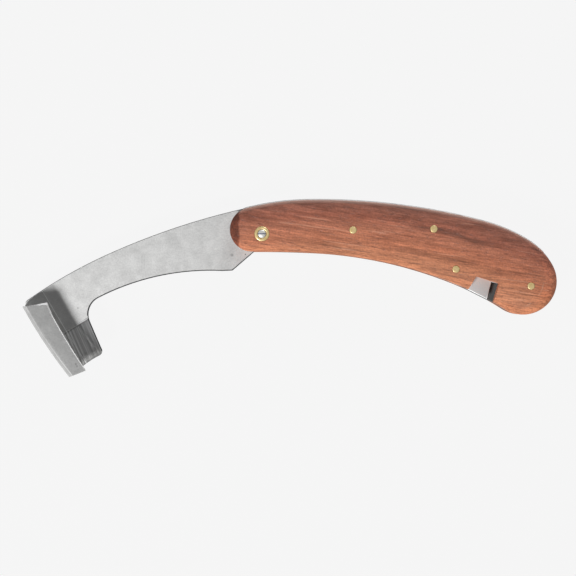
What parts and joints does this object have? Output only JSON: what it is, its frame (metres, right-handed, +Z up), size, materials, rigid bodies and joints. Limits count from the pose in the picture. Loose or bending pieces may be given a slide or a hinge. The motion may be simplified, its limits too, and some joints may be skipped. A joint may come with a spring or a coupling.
{
  "type": "folding hook knife",
  "caption": "Folding hook knife with a curved steel arm, a U-shaped hook cutter, and wooden scales on steel liners.",
  "frame": {"origin": "under the middle of the open tool's bounding box, on the surface it lies on", "axes": "+X from the hook to the butt, +Y from the belly of the handle to its spine, +Z up out of the front scale"},
  "size_m": [0.2122, 0.0708, 0.0176],
  "materials": {
    "wood": "oiled reddish hardwood, satin",
    "blade_steel": "satin ground tool steel",
    "frame_steel": "satin steel liners and spring",
    "pivot_steel": "polished steel rivet head",
    "brass": "brass pins and collars, rubbed"
  },
  "bodies": {
    "handle": {"front_scale": "wood", "back_scale": "wood", "front_liner": "frame_steel", "back_liner": "frame_steel", "back_spring": "frame_steel", "pivot_pin": "pivot_steel", "front_pivot_collar": "brass", "back_pivot_collar": "brass", "middle_pin": "brass", "spring_pin": "brass", "stop_pin": "brass", "butt_pin": "brass"},
    "blade": {"hook_blade": "blade_steel"}
  },
  "joints": [
    {"name": "blade_pivot", "type": "hinge", "parent": "handle", "child": "blade", "pos_m": [-0.01128, 0.0213, 0.0085], "axis": [0, 0, 1], "range_deg": [0, 130]}
  ]
}
